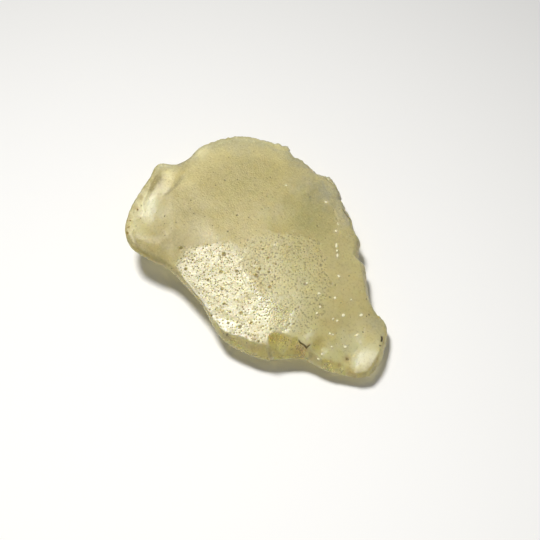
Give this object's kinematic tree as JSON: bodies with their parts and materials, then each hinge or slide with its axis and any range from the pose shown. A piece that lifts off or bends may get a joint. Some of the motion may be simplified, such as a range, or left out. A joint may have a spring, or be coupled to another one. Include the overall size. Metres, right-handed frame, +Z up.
{
  "type": "desert glass specimen",
  "caption": "Wind-worn flake of natural yellow-green silica glass, domed above and bellied below, that lies on a small flat spot.",
  "frame": {"origin": "middle of the footprint's box, on the surface that the piece lies on", "axes": "+X runs along the length from the blunt raised head to the narrow low toe, +Y across the width, +Z up"},
  "size_m": [0.0468, 0.0312, 0.0074],
  "materials": {
    "desert_glass": "hazy yellow-green natural glass, softly worn, with fine pits"
  },
  "bodies": {
    "root": {"desert_glass": "desert_glass"}
  },
  "joints": []
}
